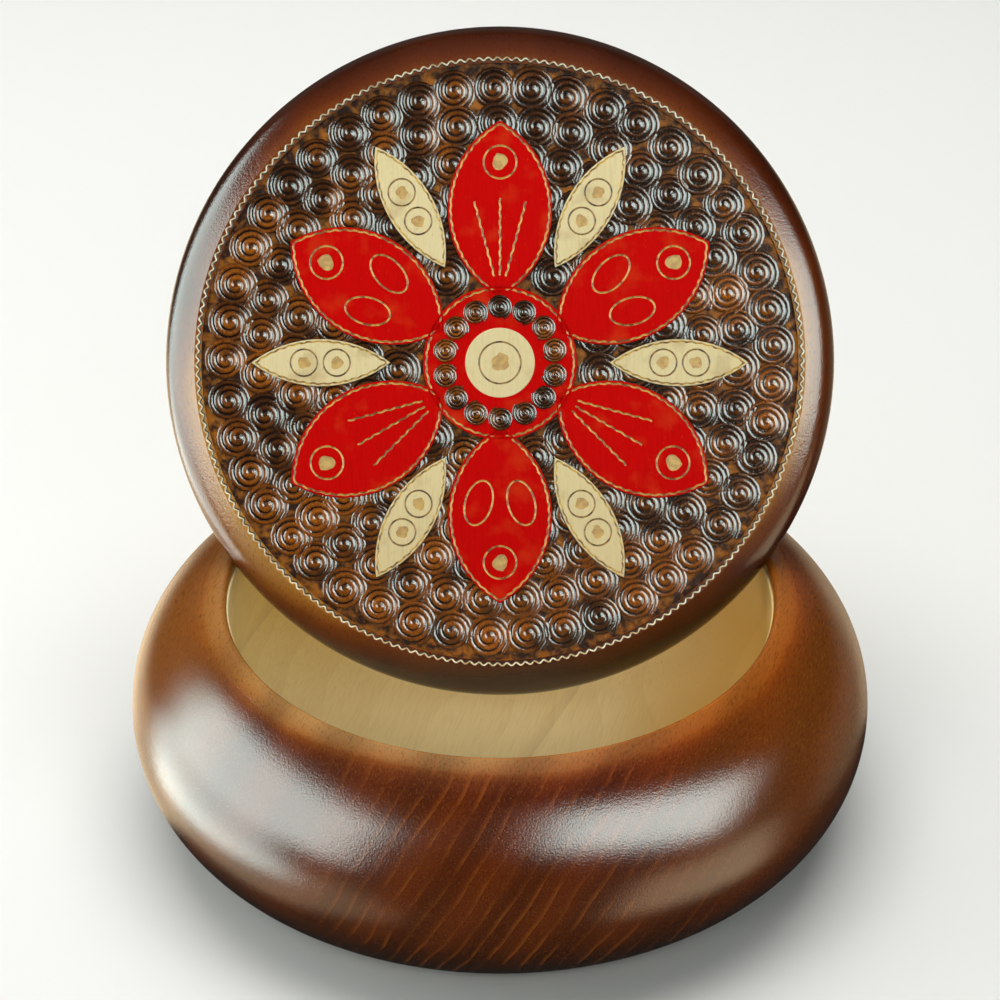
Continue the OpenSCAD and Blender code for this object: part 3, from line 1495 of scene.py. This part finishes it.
        # The dark groove just inside the zigzag is painted shadow; the pale one is the cut itself.
        carve(disc, [self.zigzag(self.zigzag_r - self.zigzag_shadow)], self.shadow_cut)
        carve(disc, [self.zigzag(self.zigzag_r)], self.pale_cut)
        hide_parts("lid")
        return self.finish(disc, Slot.CARVED, self.cut_degrees)

    def in_ground(self, face: Face) -> bool:
        """Says whether a face of the disc belongs to the sunk ground or the wall round it."""
        spot = face.calc_center_median()
        return math.hypot(spot.x, spot.y) < self.ground_r + TOUCH and 0 < spot.z < self.edge_up

    def zigzag(self, radius: float) -> Piece:
        """Makes the tool that cuts a wavy ring, from one sector of it copied all round.

        Args:
            radius: Radius of the ring.

        Returns:
            The tool, a closed ring.
        """
        sector = FULL_TURN / self.zigzag_sectors
        waves = round(sector * self.zigzag_r / self.zigzag_pitch)
        count = waves * self.zigzag_phases
        path = []
        for i in range(count + 1):
            reach = radius + self.zigzag_swing * math.sin(FULL_TURN * i / self.zigzag_phases)
            angle = sector * i / count
            path.append(Vector((reach * math.cos(angle), reach * math.sin(angle), self.edge_up)))
        model = sweep("zigzag_stroke", path, self.zigzag_tube, self.zigzag_sides, sector)
        copies = [model]
        for i in range(1, self.zigzag_sectors):
            copies.append(copy_of(model, "zigzag_stroke"))
            settle(copies[-1], Matrix.Rotation(sector * i, 4, "Z"))
        ring = join(copies)
        clean(ring, self.zigzag_merge)
        return ring

    def raised(self, name: str, oval: PointedOval, finish: Material) -> Piece:
        """Models a petal or a leaf with a wavy line inside its edge.

        Args:
            name: The object's name.
            oval: Its outline.
            finish: Its finish.

        Returns:
            The block.
        """
        block = oval.blank(name, self.low_z, self.top_z)
        dress(block, finish)
        carve(block, oval.outline(self.top_z, self.gouge), self.gold_cut)
        return block

    def petals(self) -> list[Piece]:
        """Carves the two kinds of red petal, each once, and copies them round the hub.

        Returns:
            The petals.
        """
        pleated = self.raised("petal_pleated", self.petal, self.red)
        looped = self.raised("petal_looped", self.petal, self.red)
        for block in (pleated, looped):
            self.petal_dot.cut(block, self.top_z, self.gouge, self.gold_cut, self.gold_spot)
        root = Vector((0, self.petal.root, self.top_z))
        for fan in self.pleat_fan:
            way = Matrix.Rotation(math.radians(fan), 3, "Z") @ Vector((0, 1, 0))
            start, end = (root + way * run * MM for run in (self.pleat_from_mm, self.pleat_to_mm))
            carve(pleated, [self.gouge.stroke(start, end)], self.gold_cut)
        for side in (-1, 1):
            middle = Vector((side * self.loop_aside, self.loop_reach, self.top_z))
            loop = self.gouge.oval(middle, self.loop_wide, self.loop_tall, -side * self.loop_lean)
            carve(looped, [loop], self.gold_cut)
        return self.ring_of((pleated, looped), 0, Slot.RED)

    def leaves(self) -> list[Piece]:
        """Carves one pale leaf with its ring-dots, and copies it between the petals.

        Returns:
            The leaves.
        """
        leaf = self.raised("leaf", self.leaf, self.cream)
        for dot in self.leaf_dots:
            dot.cut(leaf, self.top_z, self.gouge, self.brown_cut, self.gold_spot)
        return self.ring_of((leaf,), 0.5, Slot.BARE)

    def ring_of(self, models: Sequence[Piece], start: float, slot: Slot) -> list[Piece]:
        """Copies carved pieces round the hub by turns, and removes the models.

        Args:
            models: The pieces to copy, taken in turn.
            start: Where the first copy stands, as a share of the way to the next.
            slot: Handed on to finish, which does not use it.

        Returns:
            The copies in their places.
        """
        copies = []
        for i in range(self.petal_count):
            model = models[i % len(models)]
            twin = copy_of(model, f"{model.name}_{i + 1}")
            settle(twin, Matrix.Rotation(FULL_TURN * (i + start) / self.petal_count, 4, "Z"))
            copies.append(self.finish(twin, slot, self.cut_degrees))
        for model in models:
            bpy.data.objects.remove(model, do_unlink=True)
        return copies

    def disc(self, name: str, radius: float, top: float, bevel: float) -> Piece:
        """Models a round block of the rosette with its upper edge broken.

        Args:
            name: The object's name.
            radius: Its radius.
            top: Height of its top.
            bevel: Width of the broken edge.

        Returns:
            The block.
        """
        block = primitive(
            name, bpy.ops.mesh.primitive_cylinder_add, vertices=self.disc_steps, radius=radius,
            depth=top - self.low_z, location=(0, 0, (top + self.low_z) / 2),
        )
        break_edge(block, bevel)
        return block

    def hub(self) -> Piece:
        """Carves the red hub with a line inside its edge and a bed for the eye.

        Returns:
            The hub.
        """
        block = self.disc("rosette_hub", self.hub_r, self.top_z, self.hub_bevel)
        dress(block, self.red)
        middle_line = self.hub_r - self.hub_line
        path = []
        for share, wave in self.gouge.steps(FULL_TURN * middle_line):
            reach, angle = middle_line + wave, FULL_TURN * share
            path.append(Vector((reach * math.cos(angle), reach * math.sin(angle), self.top_z)))
        path[-1] = path[0].copy()
        carve(block, [self.gouge.cut(path, closed=True)], self.gold_cut)
        through = 4 * self.edge_up
        eye_bed = primitive(
            "eye_bed", bpy.ops.mesh.primitive_cylinder_add, vertices=self.disc_steps,
            radius=self.eye_r - self.eye_lap, depth=through,
        )
        combine(block, eye_bed, "DIFFERENCE")
        return self.finish(block, Slot.RED, self.cut_degrees)

    def eye(self) -> Piece:
        """Carves the pale eye in the middle of the hub, with one ring-dot.

        Returns:
            The eye.
        """
        top = self.top_z + self.eye_h
        block = self.disc("rosette_eye", self.eye_r, top, self.eye_bevel)
        dress(block, self.cream)
        self.eye_dot.cut(block, top, self.gouge, self.brown_cut, self.gold_spot)
        return self.finish(block, Slot.BARE, self.cut_degrees)

    def curls(self) -> Piece:
        """Copies a small punch mark round the hub.

        Returns:
            The curls, as one piece.
        """
        model = self.punch.strike("curl", 0)
        small = Matrix.Diagonal((self.curl_scale,) * 3 + (1,))
        curls = []
        for i in range(self.curl_count):
            turn = Matrix.Rotation(FULL_TURN * i / self.curl_count, 4, "Z")
            curls.append(copy_of(model, f"curl_{i + 1}"))
            settle(curls[-1], turn @ Matrix.Translation((0, self.curl_r, self.top_z)) @ small)
        return self.gather(curls, model, "hub_curls", self.curled)

    def rosette_depth(self, x: float, y: float) -> float:
        """Says how deep under the rosette a spot of the ground lies.

        Args:
            x: Place of the spot across the lid.
            y: Place of the spot up the lid.

        Returns:
            How far inside the rosette's edge it is, less than nothing outside.
        """
        pitch = FULL_TURN / self.petal_count
        reach, angle = math.hypot(x, y), math.atan2(y, x) - math.pi / 2
        deepest = self.hub_r - reach
        for oval, start in ((self.petal, 0.0), (self.leaf, 0.5)):
            fold = math.remainder(angle - start * pitch, pitch)
            deepest = max(deepest, oval.depth(reach * math.sin(fold), reach * math.cos(fold)))
        return deepest

    def marks(self) -> Piece:
        """Covers the open ground with punch marks in rows, turned and spaced as by hand.

        A mark that runs on under the border or the rosette is left whole, since these stand over it.

        Returns:
            The marks, as one piece.
        """
        model = self.punch.strike("punch_mark", self.ground_z)
        marks = []
        row_r = self.ground_r - self.punch.outer_r - self.row_gap
        while row_r > self.hub_r:
            count = round(FULL_TURN * row_r / self.mark_pitch)
            shift = self.draw.random()
            for i in range(count):
                angle = FULL_TURN * (i + shift + self.stray(self.pitch_stray)) / count
                reach = row_r + self.stray(self.row_stray)
                turn = math.radians(self.mark_turn + self.stray(self.turn_stray))
                size = self.draw.uniform(self.smallest, self.largest)
                sink = self.stray(self.sink_stray)
                spot = Vector((reach * math.cos(angle), reach * math.sin(angle), sink))
                if self.rosette_depth(spot.x, spot.y) < self.hidden_depth:
                    marks.append(copy_of(model, "punch_mark_copy"))
                    grow = Matrix.Rotation(turn, 4, "Z") @ Matrix.Diagonal((size, size, 1, 1))
                    settle(marks[-1], Matrix.Translation(spot) @ grow)
            row_r -= self.row_spacing
        log.info("struck %d punch marks", len(marks))
        return self.gather(marks, model, "punched_spirals", self.scorched)

    def stray(self, most: float) -> float:
        """Draws how far the hand strays, either way."""
        return self.draw.uniform(-most, most)

    def gather(self, parts: Sequence[Piece], model: Piece, name: str, finish: Material) -> Piece:
        """Joins copies into one piece with one finish, and removes their model.

        Args:
            parts: The copies.
            model: What they were copied from.
            name: The piece's name.
            finish: Its finish.

        Returns:
            The piece.
        """
        bpy.data.objects.remove(model, do_unlink=True)
        piece = join(parts)
        piece.name = piece.data.name = name
        dress(piece, finish)
        return self.finish(piece, Slot.CARVED, self.mark_degrees)


class PanelUse(Enum):
    """What a studio panel is hung for, each with the colour of its cloth.

    A fill panel lights the wood. A sheen panel is only mirrored in the lacquer, and so is a table
    panel, which stands for the warm table top beside the box.
    """

    FILL = "#ffffff"
    SHEEN = "#ecfffa"
    TABLE = "#ffe6bc"


@dataclass(frozen=True)
class SoftPanel:
    """A studio panel, aimed at the object."""

    name: str
    use: PanelUse
    azimuth: float
    elevation: float
    distance: float
    width: float
    height: float
    radiance: float
    roll: float = 0.0

    def build(self, aim: Vector) -> None:
        """Hangs the panel, turns it to the object and rolls it about its own middle.

        Args:
            aim: What the panel is turned to.
        """
        side, up = math.radians(self.azimuth), math.radians(self.elevation)
        way = Vector((math.sin(side) * math.cos(up), -math.cos(side) * math.cos(up), math.sin(up)))
        lamp = bpy.data.lights.new(self.name, "AREA")
        lamp.shape = "RECTANGLE"
        lamp.size, lamp.size_y = self.width, self.height
        lamp.energy = self.radiance * self.width * self.height * math.pi
        lamp.color = linear(self.use.value)[:3]
        panel = bpy.data.objects.new(self.name, lamp)
        panel.location = aim + way * self.distance
        roll = Matrix.Rotation(math.radians(self.roll), 3, "Z")
        panel.rotation_euler = (way.to_track_quat("Z", "Y").to_matrix() @ roll).to_euler()
        panel.visible_camera = False
        panel.visible_diffuse = self.use is PanelUse.FILL
        panel.visible_glossy = self.use is not PanelUse.FILL
        bpy.context.collection.objects.link(panel)


@dataclass
class Studio:
    """Pale floor, soft panels and the camera."""

    camera_elevation: float = 33.04
    camera_distance: float = 0.75
    lens: float = 136.34
    aim: Vector = Vector((0, 0, 0.07123))
    floor_size: float = 6.0
    ambient: str = "#2c2c2c"
    panels: tuple[SoftPanel, ...] = (
        SoftPanel("left_fill", PanelUse.FILL, -97, 26, 0.65, 1.1, 0.6, 1.0),
        SoftPanel("front_fill", PanelUse.FILL, 0, 37, 1.2, 1.4, 0.25, 3.2),
        SoftPanel("top_fill", PanelUse.FILL, 180, 86, 0.8, 0.8, 0.5, 4.5),
        SoftPanel("back_fill", PanelUse.FILL, 180, 55, 1.0, 1.2, 0.6, 1.8),
        SoftPanel("left_sheen", PanelUse.SHEEN, -78, 18, 1.54, 2.26, 1.3, 10.8),
        SoftPanel("right_sheen", PanelUse.SHEEN, 48.5, 28, 1.53, 1.63, 0.92, 12.5, -32),
        SoftPanel("back_sheen", PanelUse.SHEEN, 180, 22, 1.2, 1.8, 0.7, 0.12),
        SoftPanel("left_table_sheen", PanelUse.SHEEN, -92, -20.5, 1.56, 1.55, 0.86, 7.5),
        SoftPanel("left_table", PanelUse.TABLE, -80, -37.5, 1.55, 2.34, 0.8, 1.4),
        SoftPanel("left_back_table", PanelUse.TABLE, -140, -31, 1.55, 1.1, 0.75, 1.3),
        SoftPanel("right_table", PanelUse.TABLE, 60, -28, 1.53, 1.2, 0.8, 2.8),
        SoftPanel("right_back_table", PanelUse.TABLE, 130, -18, 1.5, 1.4, 0.8, 0.3),
        SoftPanel("back_table", PanelUse.TABLE, 180, -25, 1.0, 1.4, 0.5, 0.45),
    )

    def build(self) -> None:
        """Sets the floor, the light and the camera."""
        floor = primitive("studio_floor", bpy.ops.mesh.primitive_plane_add, size=self.floor_size)
        dress(floor, PaleFloor("matt_white_floor").material())
        floor.visible_glossy = floor.visible_shadow = False
        world = bpy.data.worlds.new("studio")
        world.use_nodes = True
        world.node_tree.nodes["Background"].inputs["Color"].default_value = linear(self.ambient)
        bpy.context.scene.world = world
        for panel in self.panels:
            panel.build(self.aim)
        lens = bpy.data.cameras.new("camera")
        lens.lens = self.lens
        camera = bpy.data.objects.new("camera", lens)
        up = math.radians(self.camera_elevation)
        camera.location = self.aim + self.camera_distance * Vector((0, -math.cos(up), math.sin(up)))
        camera.rotation_euler = (math.pi / 2 - up, 0, 0)
        bpy.context.collection.objects.link(camera)
        bpy.context.scene.camera = camera
        bpy.context.scene.view_settings.view_transform = "Standard"


def main() -> None:
    logging.basicConfig(level=logging.INFO, format="%(name)s: %(message)s")
    pieces = [TurnedBox().build()]
    pieces += CarvedLid().build()
    for piece in pieces:
        log.info("%s: %d faces", piece.name, len(piece.data.polygons))
    Studio().build()


if __name__ == "__main__":
    main()
